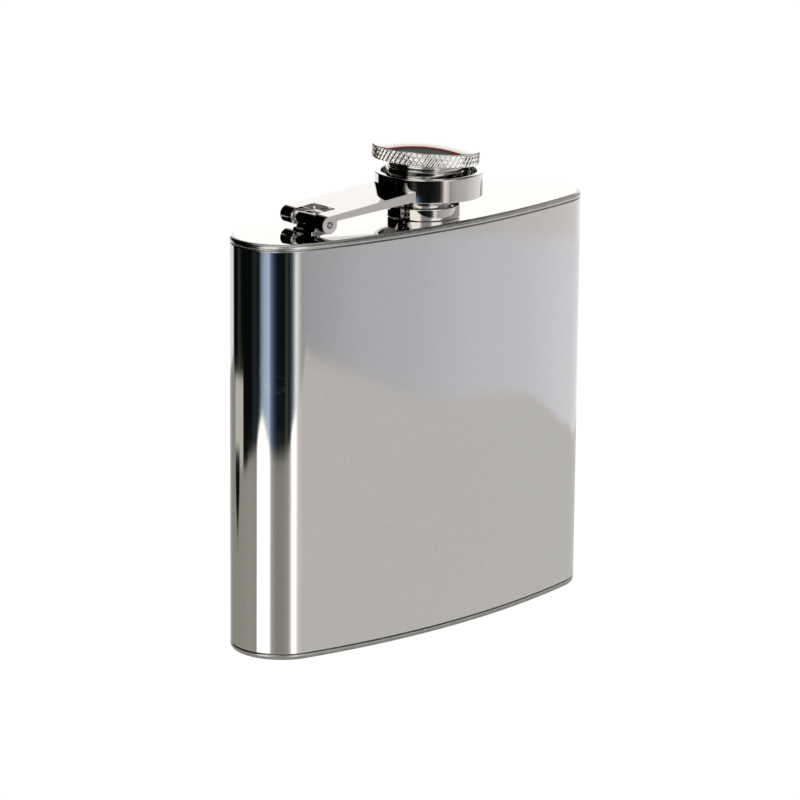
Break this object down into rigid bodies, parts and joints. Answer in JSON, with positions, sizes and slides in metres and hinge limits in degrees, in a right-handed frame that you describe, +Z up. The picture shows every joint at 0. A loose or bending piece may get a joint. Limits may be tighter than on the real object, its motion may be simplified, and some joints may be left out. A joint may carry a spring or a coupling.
{
  "type": "hip flask",
  "caption": "Curved pocket flask of polished steel with a threaded neck and a captive screw cap on a hinged arm.",
  "frame": {"origin": "on the base plane, at the middle of the width, halfway across the bow of the body", "axes": "+Z up along the body; +X along the width, towards the end away from the hinge; -Y is the convex front"},
  "size_m": [0.094, 0.0266, 0.1048],
  "materials": {
    "steel_body": "mirror-polished stainless steel with faint brushing",
    "steel_hardware": "bright polished",
    "spring_steel": "satin",
    "seal": "matt"
  },
  "bodies": {
    "flask": {"body_shell": "steel_body", "top_plate": "steel_body", "bottom_plate": "steel_body", "neck": "steel_hardware", "hinge_bracket": "steel_hardware", "hinge_pin": "steel_hardware"},
    "arm": {"lever_arm": "steel_hardware", "collar_ring": "steel_hardware"},
    "carrier": {"retaining_ring": "spring_steel"},
    "cap": {"cap_sleeve": "steel_hardware", "cap_head": "steel_hardware", "cap_dome": "steel_hardware", "cap_seal": "seal"}
  },
  "joints": [
    {"name": "lever_swing", "type": "hinge", "parent": "flask", "child": "arm", "pos_m": [-0.02973, 0.00118, 0.0912], "axis": [-0.108, -0.9942, 0], "range_deg": [0, 135]},
    {"name": "cap_settle", "type": "hinge", "parent": "arm", "child": "carrier", "pos_m": [0.02509, -0.00478, 0.0957], "axis": [0.108, 0.9942, 0], "range_deg": [-5, 0]},
    {"name": "cap_turn", "type": "hinge", "parent": "carrier", "child": "cap", "pos_m": [0.00027, -0.00208, 0.09989], "axis": [0.0866, -0.0094, 0.9962], "range_deg": [-360, 0]}
  ],
  "couplings": [
    {"joint": "cap_settle", "follows": "cap_turn", "ratio": 0.013889}
  ]
}
